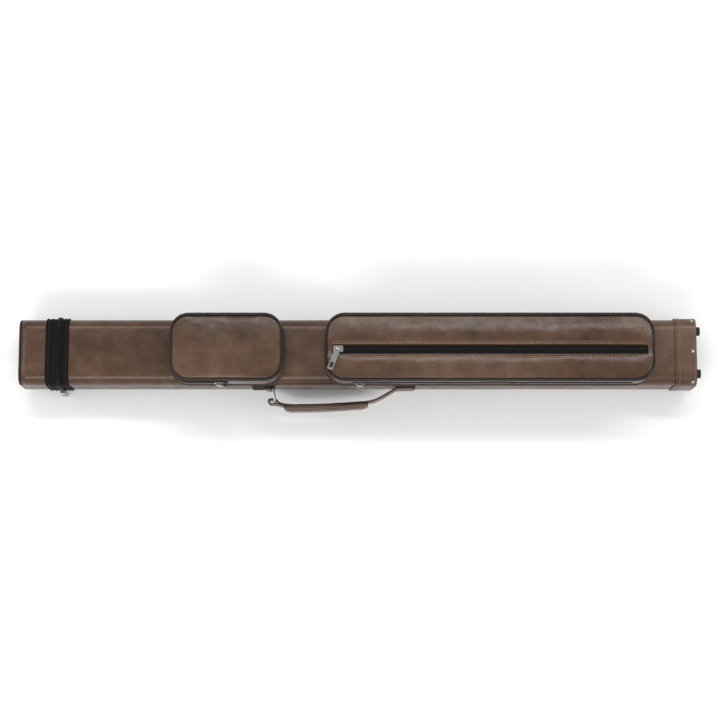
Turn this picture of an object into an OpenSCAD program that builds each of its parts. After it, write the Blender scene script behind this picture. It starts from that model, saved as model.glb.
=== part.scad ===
// Hard cue case for two cues (two butts and two shafts), lying on its back.
// X runs along the case with the lid at -X and the feet at +X, the carrying
// handle is on the -Y side, and the pouches are on top (+Z).

/* [Body] */
// Width of the case over its leather
body_w = 80; // [78:0.5:84]
// Depth of the case over its leather, without the pouches
body_d = 61; // [60.5:0.5:64]
// Radius of the long corners
corner_r = 13; // [12.5:0.5:15]
// Thickness of the leather covering
leather_t = 1; // [0.8:0.1:1.2]
// Wall of the stiff shell
shell_t = 2; // [1.6:0.1:2]
// Height of the case's back face above the surface that it lies on
back_gap = 9; // [9:0.5:12]

/* [Tubes] */
// Bore radius of a butt tube
butt_r = 15.3; // [15:0.1:15.3]
// Bore radius of a shaft tube
shaft_r = 10.6; // [10.4:0.1:10.6]

/* [Lid] */
// Distance from the case's middle to the lid's end face
lid_end = 411.5; // [409:0.5:415]
// Distance from the case's middle to the line where the lid meets the body
split_x = 364; // [364:1:366]

/* [Pouches] */
// Height of a pouch above the front of the case
pouch_h = 35; // [34:0.5:36]
// Half the width of a pouch at its base
pouch_half = 42; // [41:0.5:42]
// Corner radius of a pouch
pouch_r = 24; // [20:1:26]
// Length of a large zip pull
pull_len = 27; // [24:1:28]

/* [Hidden] */
$fn = 48;
eps = 0.1;
clear = 0.3;
front_z = body_d / 2;
side_y = body_w / 2;
axis_y = 14.2;
axis_z = front_z + back_gap;
floor_z = -axis_z;

// Body stations along X
mouth_x = -362;
body_end = 398;
sleeve_x = 381.3;
sleeve_t = 1.5;
base_end = 406.5;
foot_end = 412.5;
foot_y = 26;
foot_z = 18;
foot_r = 5.4;
pad_x = 392;

// Tube centres across the case
butt_y = 20.4;
butt_z = -11.2;
shaft_y = 15.2;
shaft_z = 16;
butt_wall = 0.7;
shaft_wall = 0.6;

// Zip round the mouth
tape_t = 1.2;
teeth_t = 2.5;
teeth_w = 2.4;
tape_lid = 380;
tape_case = 352;

// Layers under the case, as heights below its axis
loop_low = floor_z;
web_low = floor_z + 2.1;
web_t = 1.6;
return_low = web_low + web_t + clear;
ring_z = -34;
ring_r = 1.5;
loop_r = 3.3;
web_half = 19;
tab_half = 15;

// Rings at the two ends of the shoulder strap
ring_len = 22;
ring_wide = 38;
left_ring_x = -351;
right_ring_x = 351;

// Pouches
base_t = 2;
wall_in = 1.5;
wall_t = 2;
pouch_low = front_z;
gusset_low = pouch_low + base_t;
gusset_top = pouch_low + pouch_h - 2.5;
panel_t = 2.5;
piping_r = 1.8;
piping_in = wall_in + wall_t / 2;
small_x0 = -228;
small_x1 = -91;
flap_x = -159;
zip_z = 56;
zip_low = 46.5;
large_x0 = -42;
large_x1 = 352;
side_zip_z = 49;
front_zip_y = -3;
slot_half = 5;
side_zip_x = [-9, 326];
front_zip_x = [-33, 343];
coil_r = 1.2;

// Zip sliders and pulls
plate_l = 12;
plate_w = 8;
plate_t = 1.4;
plate_lift = 1.7;
pin_lift = 4.6;
pin_r = 0.8;
pull_t = 1.6;
pull_w = 7;
small_pull_len = 24;

// Handle bands and handle
band_t = 1;
band_left_x = [-131.6, -108.3];
band_right_x = [43.5, 67.4];
handle_half = 11;
grip_half = 15.5;
grip_t = 9.6;
hring_len = 16;
hring_r = 1.3;
hring_half = 13;
hring_angle = 80;
hring_pos = [-106, -42.6];
bar_pos = hring_pos + hring_len * [cos(hring_angle), -sin(hring_angle)];
loop_slack = 5.6;
slack_r = 1.9;
strap_t = 1.8;
grip_left = [-92, -66];
grip_right = [10, -61.7];
strap_in_grip = 3;

// Shoulder pad and tri-glide
spad_x = [-156, -24.5];
spad_half = 21.5;
spad_loops = [-138.5, -45];
tri_x = [44.3, 74.7];

leather = "sienna";
dark = [0.13, 0.09, 0.07];
webbing = [0.08, 0.08, 0.08];
metal = [0.6, 0.6, 0.62];

// ---- Shared shapes ----

// Puts a shape drawn about the case's axis into the part's frame
module on_axis() {
  translate([0, axis_y, axis_z]) children();
}

// Extrudes a Y-Z outline from x0 to x1
module along_x(x0, x1) {
  translate([x0, 0, 0]) rotate([90, 0, 90]) linear_extrude(x1 - x0) children();
}

// Extrudes an X-Z outline from y0 to y1
module along_y(y0, y1) {
  translate([0, y1, 0]) rotate([90, 0, 0]) linear_extrude(y1 - y0) children();
}

// Extrudes an X-Y outline from z0 to z1
module along_z(z0, z1) {
  translate([0, 0, z0]) linear_extrude(z1 - z0) children();
}

// Block given by its lowest and highest corners
module block(low, high) {
  translate(low) cube(high - low);
}

// Rectangle with round corners, centred
module round_rect(w, h, r) {
  square([w - 2 * r, h], center = true);
  square([w, h - 2 * r], center = true);
  for (sx = [-1, 1], sy = [-1, 1]) {
    translate([sx * (w / 2 - r), sy * (h / 2 - r)]) circle(r);
  }
}

// Cross-section of the case, grown outwards by g
module section(g) {
  round_rect(body_w + 2 * g, body_d + 2 * g, corner_r + g);
}

// Sleeve between two grown cross-sections
module sleeve(x0, x1, inner, outer) {
  difference() {
    along_x(x0, x1) section(outer);
    along_x(x0 - 1, x1 + 1) section(inner);
  }
}

// Closed frame of round wire in the X-Y plane, given between wire centres
module wire_frame(lx, ly, r, bend) {
  for (s = [-1, 1]) {
    translate([s * lx / 2, 0, 0]) rotate([90, 0, 0]) cylinder(ly - 2 * bend, r, r, center = true);
    translate([0, s * ly / 2, 0]) rotate([0, 90, 0]) cylinder(lx - 2 * bend, r, r, center = true);
  }
  for (sx = [-1, 1], sy = [-1, 1]) {
    translate([sx * (lx / 2 - bend), sy * (ly / 2 - bend), 0]) {
      rotate([0, 0, sx > 0 ? (sy > 0 ? 0 : -90) : (sy > 0 ? 90 : 180)]) {
        rotate_extrude(angle = 90) translate([bend, 0]) circle(r);
      }
    }
  }
}

// Loop of webbing or leather round a bar that runs along Y
module bar_loop(x, z, half) {
  difference() {
    translate([x, 0, z]) rotate([90, 0, 0]) cylinder(2 * half, loop_r, loop_r, center = true);
    translate([x, 0, z]) rotate([90, 0, 0]) cylinder(2 * half + 2, loop_r - web_t, loop_r - web_t, center = true);
  }
}

// ---- Body ----

// Four flat boards, front, back and sides
module body_shell() {
  flat_w = body_w - 2 * corner_r;
  flat_d = body_d - 2 * corner_r;
  color("dimgray") on_axis() along_x(mouth_x, body_end) {
    for (s = [-1, 1]) {
      translate([0, s * (body_d / 2 - leather_t - shell_t / 2)]) square([flat_w, shell_t], center = true);
      translate([s * (body_w / 2 - leather_t - shell_t / 2), 0]) square([shell_t, flat_d], center = true);
    }
  }
}

// Quarter of a ring, in the first quadrant
module quarter_ring(r_out, r_in) {
  intersection() {
    difference() {
      circle(r_out);
      circle(r_in);
    }
    square(r_out + 1);
  }
}

// Round corner mouldings that join the boards
module shell_corners() {
  r_out = corner_r - leather_t;
  color("gray") on_axis() along_x(mouth_x, body_end) {
    for (s = [-1, 1], t = [-1, 1]) {
      translate([s * (body_w / 2 - corner_r), t * (body_d / 2 - corner_r)]) {
        rotate([0, 0, s > 0 ? (t > 0 ? 0 : -90) : (t > 0 ? 90 : 180)]) quarter_ring(r_out, r_out - shell_t);
      }
    }
  }
}

module body_leather() {
  color(leather) on_axis() sleeve(mouth_x, body_end, -leather_t, 0);
}

// Circles at the four tube centres
module tube_holes(grow) {
  for (s = [-1, 1]) {
    translate([s * butt_y, butt_z]) circle(butt_r + grow * butt_wall);
    translate([s * shaft_y, shaft_z]) circle(shaft_r + grow * shaft_wall);
  }
}

module foam_insert() {
  color("dimgray") on_axis() along_x(mouth_x + 6, pad_x) difference() {
    section(-leather_t - shell_t);
    tube_holes(1);
  }
}

module mouth_plate() {
  color("black") on_axis() along_x(mouth_x, mouth_x + 6) difference() {
    section(-leather_t - shell_t);
    tube_holes(1);
  }
}

// One lined tube that holds a butt or a shaft
module cue_tube(y, z, r, wall) {
  color("darkslategray") on_axis() along_x(mouth_x, pad_x) translate([y, z]) difference() {
    circle(r + wall);
    circle(r);
  }
}

module butt_tube_1() {
  cue_tube(-butt_y, butt_z, butt_r, butt_wall);
}

module butt_tube_2() {
  cue_tube(butt_y, butt_z, butt_r, butt_wall);
}

module shaft_tube_1() {
  cue_tube(-shaft_y, shaft_z, shaft_r, shaft_wall);
}

module shaft_tube_2() {
  cue_tube(shaft_y, shaft_z, shaft_r, shaft_wall);
}

module bottom_pad() {
  color("gray") on_axis() along_x(pad_x, body_end) section(-leather_t - shell_t);
}

// ---- Base ----

// Repeats a shape drawn on the X axis at the four feet
module at_feet() {
  for (sy = [-1, 1], sz = [-1, 1]) {
    translate([0, sy * foot_y, sz * foot_z]) children();
  }
}

// Round bar along X
module x_bar(x0, x1, r) {
  translate([x0, 0, 0]) rotate([0, 90, 0]) cylinder(x1 - x0, r, r);
}

module base_plug() {
  color("dimgray") on_axis() difference() {
    along_x(body_end, base_end - sleeve_t) section(0);
    at_feet() x_bar(body_end + 2, base_end, 1.55);
  }
}

module base_sleeve() {
  color(leather) on_axis() difference() {
    along_x(sleeve_x, base_end) section(sleeve_t);
    along_x(sleeve_x - 1, base_end - sleeve_t) section(0);
    at_feet() x_bar(base_end - 2, base_end + 1, 1.55);
  }
}

module base_feet() {
  color("black") on_axis() at_feet() difference() {
    x_bar(base_end, foot_end, foot_r);
    x_bar(base_end - 1, foot_end + 1, 1.55);
    x_bar(foot_end - 2.5, foot_end + 1, 3.2);
  }
}

module foot_screws() {
  color(metal) on_axis() at_feet() {
    x_bar(body_end + 3, foot_end - 2.4, 1.5);
    x_bar(foot_end - 2.5, foot_end - 1, 3);
  }
}

// Domed rivet head that stands on the plane z = 0
module rivet() {
  intersection() {
    translate([0, 0, -1.9]) sphere(3);
    cylinder(2, 2.3, 2.3);
  }
}

module rivets() {
  rivet_x = 402;
  wrap = sleeve_t + corner_r;
  color(metal) on_axis() {
    translate([rivet_x, 0, front_z + sleeve_t]) rivet();
    for (s = [-1, 1]) {
      translate([rivet_x, s * (side_y + sleeve_t), 0]) rotate([-s * 90, 0, 0]) rivet();
      translate([rivet_x, s * 9, -front_z - sleeve_t - web_t]) rotate([180, 0, 0]) rivet();
      for (t = [-1, 1]) {
        translate([rivet_x, s * (side_y - corner_r), t * (front_z - corner_r)]) {
          rotate([t > 0 ? -s * 45 : -s * 135, 0, 0]) translate([0, 0, wrap + 0.12]) rivet();
        }
      }
    }
  }
}

// ---- Zip round the mouth, and the leather hinge ----

module case_zip() {
  loop_edge = left_ring_x - loop_r - clear;
  color(webbing) on_axis() {
    sleeve(-split_x + eps, -split_x + eps + teeth_w, 0, teeth_t);
    difference() {
      sleeve(-split_x + teeth_w, -tape_case, 0, tape_t);
      block([loop_edge, -tab_half - clear, -body_d], [-tape_case + 1, tab_half + clear, 0]);
    }
  }
}

module lid_zip() {
  color(webbing) on_axis() {
    sleeve(-split_x - eps - teeth_w, -split_x - eps, 0, teeth_t);
    sleeve(-tape_lid, -split_x - teeth_w, 0, tape_t);
  }
}

module hinge_tab() {
  low = -front_z - teeth_t - web_t;
  color(dark) on_axis() {
    block([-split_x + 0.2, -tab_half, low], [left_ring_x - 2, tab_half, low + web_t]);
    block([-split_x + teeth_w + 0.2, -tab_half, low], [left_ring_x - 2, tab_half, -front_z - tape_t]);
    bar_loop(left_ring_x, ring_z, tab_half);
  }
}

module lid_hinge_tab() {
  low = -front_z - teeth_t - web_t;
  color(dark) on_axis() {
    block([-386, -tab_half, low], [-split_x - 0.2, tab_half, low + web_t]);
    block([-tape_lid, -tab_half, low], [-split_x - teeth_w - 0.2, tab_half, -front_z - tape_t]);
    block([-386, -tab_half, low], [-tape_lid, tab_half, -front_z]);
  }
}

// ---- Lid ----

module lid_shell() {
  open_x = -split_x - 2;
  end_x = -lid_end + 2;
  color("dimgray") on_axis() difference() {
    along_x(end_x, open_x) section(-leather_t);
    along_x(end_x + 3, open_x + 1) section(-leather_t - shell_t);
  }
}

module lid_leather() {
  color(leather) on_axis() sleeve(-lid_end + 2, -split_x - 2, -leather_t, 0);
}

module lid_end_panel() {
  color(leather) on_axis() along_x(-lid_end, -lid_end + 2) section(-3);
}

// Round piping that follows a rounded rectangle drawn in the X-Y plane
module piping_ring(w, h, bend, r) {
  wire_frame(w, h, r, bend);
}

module lid_piping() {
  r = 1.5;
  color(dark) on_axis() translate([-lid_end + 2 - r, 0, 0]) rotate([90, 0, 90]) {
    piping_ring(body_w - 2 * r, body_d - 2 * r, corner_r - r, r);
  }
}

module lid_liner() {
  color("gray") on_axis() along_x(-lid_end + 5, -lid_end + 10) section(-leather_t - shell_t);
}

module lid_tab() {
  color(dark) on_axis() block([-lid_end - 1.4, -11, -26], [-lid_end, 11, -10]);
}

// ---- Shoulder strap ----

module left_ring() {
  color(metal) on_axis() translate([left_ring_x + ring_len / 2, 0, ring_z]) {
    wire_frame(ring_len, ring_wide + 2, ring_r, 4);
  }
}

module right_ring() {
  color(metal) on_axis() translate([right_ring_x + ring_len / 2, 0, ring_z]) {
    wire_frame(ring_len, ring_wide + 2, ring_r, 4);
  }
}

module right_tab() {
  bar_x = right_ring_x + ring_len;
  low = -front_z - sleeve_t - web_t;
  color(dark) on_axis() {
    bar_loop(bar_x, ring_z, tab_half);
    block([bar_x + 2, -tab_half, low], [base_end - 1, tab_half, low + web_t]);
    block([bar_x + 2, -tab_half, low], [sleeve_x - eps, tab_half, -front_z]);
  }
}

module strap_webbing() {
  near = left_ring_x + ring_len;
  half = 15.8;
  color(webbing) on_axis() {
    bar_loop(near, ring_z, half);
    bar_loop(right_ring_x, ring_z, half);
    block([near + 2, -half, web_low], [near + 8, half, web_low + web_t]);
    block([near + 7, -web_half, web_low], [right_ring_x - 7, web_half, web_low + web_t]);
    block([right_ring_x - 8, -half, web_low], [right_ring_x - 2, half, web_low + web_t]);
    block([near + 7, -web_half, web_low + web_t - eps], [near + 36, web_half, return_low + web_t]);
    block([near + 2, -half, return_low], [near + 8, half, return_low + web_t]);
    block([tri_x[0] + 14, -web_half, return_low], [right_ring_x - 7, web_half, return_low + web_t]);
    block([right_ring_x - 8, -half, return_low], [right_ring_x - 2, half, return_low + web_t]);
  }
}

module strap_pad() {
  top = -front_z - 1.5;
  color(webbing) on_axis() {
    along_z(return_low, top) translate([(spad_x[0] + spad_x[1]) / 2, 0]) {
      round_rect(spad_x[1] - spad_x[0], 2 * spad_half, 8);
    }
    for (x = spad_loops) {
      block([x - 6.7, -spad_half, loop_low], [x + 6.7, spad_half, loop_low + 1.8]);
      for (s = [-1, 1]) {
        block([x - 6.7, s > 0 ? web_half + clear : -spad_half, loop_low],
              [x + 6.7, s > 0 ? spad_half : -web_half - clear, return_low + eps]);
      }
    }
  }
}

module triglide() {
  bar = 1;
  low = floor_z + bar;
  high = return_low + web_t + 1.15;
  rail_y = web_half + 1.6;
  color(metal) on_axis() {
    for (x = [tri_x[0], (tri_x[0] + tri_x[1]) / 2, tri_x[1]]) {
      middle = x > tri_x[0] && x < tri_x[1];
      translate([x, 0, middle ? high : low]) rotate([90, 0, 0]) {
        cylinder(2 * rail_y, middle ? 0.9 : bar, middle ? 0.9 : bar, center = true);
      }
    }
    for (s = [-1, 1]) {
      block([tri_x[0] - 1, s * rail_y - 0.9, low - bar], [tri_x[1] + 1, s * rail_y + 0.9, low + bar]);
      translate([(tri_x[0] + tri_x[1]) / 2 - 2, s * rail_y - 0.9, low]) cube([4, 1.8, high - low + 0.9]);
    }
  }
}

// ---- Handle bands ----

// Strip of webbing that wraps the handle side, from the back's middle up to the pouches
module band(x) {
  intersection() {
    sleeve(x[0], x[1], 0, band_t);
    block([x[0] - 1, -body_w, -body_d], [x[1] + 1, 0, front_z - eps]);
  }
}

module band_left() {
  color(webbing) on_axis() {
    band(band_left_x);
    difference() {
      union() {
        translate([hring_pos[0], hring_pos[1], -handle_half]) cylinder(2 * handle_half, 2.4, 2.4);
        block([band_left_x[1] - 5, hring_pos[1] - 2.4, -handle_half],
              [hring_pos[0], -side_y - band_t + eps, handle_half]);
      }
      translate([hring_pos[0], hring_pos[1], -handle_half - 1]) cylinder(2 * handle_half + 2, 1.5, 1.5);
      block([hring_pos[0] - 3, -side_y, -handle_half - 1], [hring_pos[0] + 3, 0, handle_half + 1]);
    }
  }
}

module band_right() {
  color(webbing) on_axis() band(band_right_x);
}

module handle_root() {
  color(leather) on_axis() block([46, -side_y - band_t - 2, -handle_half], [65, -side_y - band_t, handle_half]);
}

// ---- Handle ----

// Outline of the slack loop that the ring's outer bar swings in
module loop_outline(r) {
  translate(bar_pos) circle(r);
  translate(bar_pos - [loop_slack, 0]) circle(r);
  translate(bar_pos - [loop_slack, r]) square([loop_slack, 2 * r]);
}

// Centre line of the strap, from the loop to its sewn end
strap_line = [
  bar_pos + [slack_r + strap_t / 2, 0], grip_left + [-1, strap_in_grip],
  grip_right + [1, strap_in_grip], [30, -50], [46, -side_y - band_t - strap_t / 2]
];

module strap_outline() {
  half = [0, strap_t / 2];
  polygon([
    for (p = strap_line) p - half,
    for (i = [len(strap_line) - 1:-1:0]) strap_line[i] + half
  ]);
  difference() {
    loop_outline(slack_r + strap_t);
    loop_outline(slack_r);
  }
}

module handle_strap() {
  color(leather) on_axis() along_z(-handle_half, handle_half) strap_outline();
}

module handle_grip() {
  half = [0, grip_t / 2];
  bevel = 3;
  color(leather) on_axis() difference() {
    along_z(-grip_half, grip_half) polygon([
      grip_left - half + [bevel, 0], grip_left - half + [0, bevel],
      grip_left + half - [0, 1], grip_left + half + [1, 0],
      grip_right + half - [1, 0], grip_right + half - [0, 1],
      grip_right - half + [0, bevel], grip_right - half - [bevel, 0]
    ]);
    along_z(-handle_half, handle_half) strap_outline();
  }
}

module handle_ring() {
  centre = (hring_pos + bar_pos) / 2;
  color(metal) on_axis() translate(centre) rotate([0, 0, -hring_angle]) rotate([90, 0, 0]) {
    wire_frame(hring_len, 2 * hring_half, hring_r, 2);
  }
}

// ---- Pouches ----

// Outline of a pouch seen from above, drawn in by the given inset
module pouch_outline(x0, x1, inset) {
  translate([(x0 + x1) / 2, 0]) {
    round_rect(x1 - x0 - 2 * inset, 2 * (pouch_half - inset), pouch_r - inset);
  }
}

// Wall that follows a pouch's outline
module pouch_wall(x0, x1, z0, z1, inset, t) {
  along_z(z0, z1) difference() {
    pouch_outline(x0, x1, inset);
    pouch_outline(x0, x1, inset + t);
  }
}

// Piping round the front edge of a pouch
module pouch_piping(x0, x1) {
  translate([(x0 + x1) / 2, 0, gusset_top + piping_r]) {
    piping_ring(x1 - x0 - 2 * piping_in, 2 * (pouch_half - piping_in), pouch_r - piping_in, piping_r);
  }
}

module small_pouch_back() {
  color(leather) on_axis() along_z(pouch_low, gusset_low) pouch_outline(small_x0, small_x1, 0);
}

module small_pouch_gusset() {
  color(leather) on_axis() {
    pouch_wall(small_x0, small_x1, gusset_low, zip_low, wall_in, wall_t);
    intersection() {
      pouch_wall(small_x0, small_x1, zip_low - eps, gusset_top, wall_in, wall_t);
      block([flap_x + clear / 2, -60, 0], [0, 60, 100]);
    }
  }
}

module small_pouch_front() {
  color(leather) on_axis() intersection() {
    along_z(gusset_top, gusset_top + panel_t) pouch_outline(small_x0, small_x1, piping_in + piping_r);
    block([flap_x + clear / 2, -60, 0], [0, 60, 100]);
  }
}

module small_flap() {
  color(leather) on_axis() intersection() {
    along_z(gusset_top, gusset_top + panel_t) pouch_outline(small_x0, small_x1, piping_in + piping_r);
    block([-400, -60, 0], [flap_x - clear / 2, 60, 100]);
  }
}

module small_pouch_piping() {
  color(dark) on_axis() intersection() {
    pouch_piping(small_x0, small_x1);
    block([flap_x + clear / 2, -60, 0], [0, 60, 100]);
  }
}

module small_flap_piping() {
  color(dark) on_axis() intersection() {
    pouch_piping(small_x0, small_x1);
    block([-400, -60, 0], [flap_x - clear / 2, 60, 100]);
  }
}

// One half of the small pouch's zip, with its teeth along the edge at teeth_z
module small_zip_half(z0, z1, teeth_z) {
  intersection() {
    union() {
      pouch_wall(small_x0, small_x1, z0, z1, wall_in + 0.3, wall_t - 0.3);
      pouch_wall(small_x0, small_x1, teeth_z, teeth_z + 1.1, wall_in - 0.9, wall_t);
    }
    block([-400, -60, 0], [flap_x - clear / 2, 60, 100]);
  }
}

module small_zip_lower() {
  color(webbing) on_axis() small_zip_half(zip_low, zip_z - 0.1, zip_z - 1.2);
}

module small_zip_upper() {
  color(webbing) on_axis() small_zip_half(zip_z + 0.1, gusset_top, zip_z + 0.1);
}

module large_pouch_back() {
  color(leather) on_axis() along_z(pouch_low, gusset_low) pouch_outline(large_x0, large_x1, 0);
}

module large_pouch_gusset() {
  color(leather) on_axis() difference() {
    pouch_wall(large_x0, large_x1, gusset_low, gusset_top, wall_in, wall_t);
    block([side_zip_x[0], -60, side_zip_z - slot_half], [side_zip_x[1], 0, side_zip_z + slot_half]);
  }
}

module large_pouch_divider() {
  color("black") on_axis() along_z(side_zip_z + 6, side_zip_z + 7.2) {
    pouch_outline(large_x0, large_x1, wall_in + wall_t);
  }
}

module large_pouch_front() {
  color(leather) on_axis() difference() {
    along_z(gusset_top, gusset_top + panel_t) pouch_outline(large_x0, large_x1, piping_in + piping_r);
    block([front_zip_x[0], front_zip_y - slot_half, 0], [front_zip_x[1], front_zip_y + slot_half, 100]);
  }
}

module large_pouch_piping() {
  color(dark) on_axis() pouch_piping(large_x0, large_x1);
}

module front_zip() {
  tape_z = gusset_top + panel_t - 0.5;
  color(webbing) on_axis() {
    block([front_zip_x[0], front_zip_y - slot_half, tape_z - tape_t],
          [front_zip_x[1], front_zip_y + slot_half, tape_z]);
    translate([0, front_zip_y, tape_z]) x_bar(front_zip_x[0] + 1, front_zip_x[1] - 1, coil_r);
  }
}

module side_zip() {
  tape_y = -pouch_half + wall_in + 0.5;
  color(webbing) on_axis() {
    block([side_zip_x[0], tape_y, side_zip_z - slot_half], [side_zip_x[1], tape_y + tape_t, side_zip_z + slot_half]);
    translate([0, tape_y, side_zip_z]) x_bar(side_zip_x[0] + 1, side_zip_x[1] - 1, coil_r);
  }
}

// ---- Zip sliders and pulls ----

// Places a slider or pull: out of the tape along +Z, with the pull towards +X
module at_slider(name) {
  if (name == "front") {
    translate([-26, front_zip_y, gusset_top + panel_t - 0.5]) rotate([0, 0, -112]) children();
  }
  if (name == "side") {
    translate([0, -pouch_half + wall_in + 0.5, side_zip_z]) rotate([0, 90, 0]) rotate([90, 0, 0]) children();
  }
  if (name == "small") {
    translate([-168, -pouch_half + wall_in + 0.3, zip_z]) rotate([0, 76, 0]) rotate([90, 0, 0]) children();
  }
  if (name == "lid") {
    translate([-split_x, -side_y - tape_t, -12]) rotate([0, 90, 0]) rotate([90, 0, 0]) children();
  }
}

// Slider body, with its length turned by the given angle from the pull's direction
module slider_body(turn, skirts) {
  rotate([0, 0, turn]) {
    translate([0, 0, plate_lift]) linear_extrude(plate_t) {
      round_rect(plate_l, plate_w, 2);
    }
    if (skirts) {
      for (s = [-1, 1]) {
        block([-plate_l / 2 + 2, s * 3.4 - 0.5, 0.3], [plate_l / 2 - 2, s * 3.4 + 0.5, plate_lift + eps]);
      }
    }
  }
  for (s = [-1, 1]) {
    difference() {
      union() {
        block([-1.6, s * 2.4 - 0.5, plate_lift + plate_t - eps], [1.6, s * 2.4 + 0.5, pin_lift]);
        translate([0, s * 2.4, pin_lift]) rotate([90, 0, 0]) cylinder(1, 1.6, 1.6, center = true);
      }
      translate([0, 0, pin_lift]) rotate([90, 0, 0]) cylinder(8, pin_r + 0.06, pin_r + 0.06, center = true);
    }
  }
}

// Pull with its pin at the slider and a rectangular hole near its far end
module pull_body(length) {
  translate([0, 0, pin_lift]) {
    rotate([90, 0, 0]) cylinder(5.8, pin_r, pin_r, center = true);
    rotate([90, 0, 0]) cylinder(3.4, 1.2, 1.2, center = true);
    block([0, -1.7, -pull_t / 2], [4.5, 1.7, pull_t / 2]);
    translate([0, 0, -pull_t / 2]) linear_extrude(pull_t) difference() {
      translate([4 + (length - 4) / 2, 0]) round_rect(length - 4, pull_w, 1.5);
      translate([length - 9.5, -2]) square([6.5, 4]);
    }
  }
}

module lid_slider() {
  color(metal) on_axis() at_slider("lid") slider_body(0, false);
}

module lid_pull() {
  color(metal) on_axis() at_slider("lid") pull_body(small_pull_len);
}

module small_slider() {
  color(metal) on_axis() at_slider("small") slider_body(76, false);
}

module small_pull() {
  color(metal) on_axis() at_slider("small") pull_body(small_pull_len);
}

module side_slider() {
  color(metal) on_axis() at_slider("side") slider_body(90, true);
}

module side_pull() {
  color(metal) on_axis() at_slider("side") pull_body(small_pull_len);
}

module front_slider() {
  color(metal) on_axis() at_slider("front") slider_body(112, true);
}

module front_pull() {
  color(metal) on_axis() at_slider("front") pull_body(pull_len);
}

body_shell();
shell_corners();
body_leather();
foam_insert();
butt_tube_1();
butt_tube_2();
shaft_tube_1();
shaft_tube_2();
mouth_plate();
bottom_pad();
base_plug();
base_sleeve();
base_feet();
foot_screws();
rivets();
case_zip();
hinge_tab();
left_ring();
right_ring();
right_tab();
band_left();
band_right();
strap_webbing();
small_pouch_back();
small_pouch_gusset();
small_pouch_front();
small_pouch_piping();
small_zip_lower();
large_pouch_back();
large_pouch_gusset();
large_pouch_front();
large_pouch_divider();
large_pouch_piping();
front_zip();
side_zip();
handle_root();
lid_shell();
lid_leather();
lid_end_panel();
lid_piping();
lid_liner();
lid_tab();
lid_zip();
lid_hinge_tab();
small_flap();
small_flap_piping();
small_zip_upper();
lid_slider();
lid_pull();
small_slider();
small_pull();
side_slider();
side_pull();
front_slider();
front_pull();
handle_strap();
handle_grip();
handle_ring();
strap_pad();
triglide();
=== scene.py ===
"""Looks of the cue case: leather, webbing, zips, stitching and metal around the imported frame."""
import math

import bmesh
import bpy
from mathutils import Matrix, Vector, noise


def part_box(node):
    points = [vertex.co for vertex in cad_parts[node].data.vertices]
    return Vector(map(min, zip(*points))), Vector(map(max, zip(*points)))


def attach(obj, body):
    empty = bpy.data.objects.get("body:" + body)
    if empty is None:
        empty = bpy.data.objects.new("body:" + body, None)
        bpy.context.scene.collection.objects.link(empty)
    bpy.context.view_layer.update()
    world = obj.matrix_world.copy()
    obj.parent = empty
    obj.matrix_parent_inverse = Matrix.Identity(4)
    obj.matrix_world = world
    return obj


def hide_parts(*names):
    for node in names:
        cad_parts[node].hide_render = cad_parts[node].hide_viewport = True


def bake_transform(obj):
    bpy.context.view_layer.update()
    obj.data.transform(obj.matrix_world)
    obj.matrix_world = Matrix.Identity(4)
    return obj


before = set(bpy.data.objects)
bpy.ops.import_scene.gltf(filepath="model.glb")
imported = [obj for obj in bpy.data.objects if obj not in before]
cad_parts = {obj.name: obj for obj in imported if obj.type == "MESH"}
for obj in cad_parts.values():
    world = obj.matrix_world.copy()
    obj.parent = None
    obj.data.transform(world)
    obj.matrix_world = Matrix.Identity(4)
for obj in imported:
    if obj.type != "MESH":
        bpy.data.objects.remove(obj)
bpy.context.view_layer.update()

MM = 0.001


# ---- Where things are, read from the frame (all in millimetres) ----


def span(node):
    """Lowest and highest corner of a node, in millimetres."""
    low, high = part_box(node)
    return [v / MM for v in low], [v / MM for v in high]


BODY_LOW, BODY_HIGH = span("body_leather")
AXIS_Y = (BODY_LOW[1] + BODY_HIGH[1]) / 2
AXIS_Z = (BODY_LOW[2] + BODY_HIGH[2]) / 2
HALF_W = (BODY_HIGH[1] - BODY_LOW[1]) / 2
HALF_D = (BODY_HIGH[2] - BODY_LOW[2]) / 2
CORNER_R = 13


# ---- Materials ----


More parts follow.
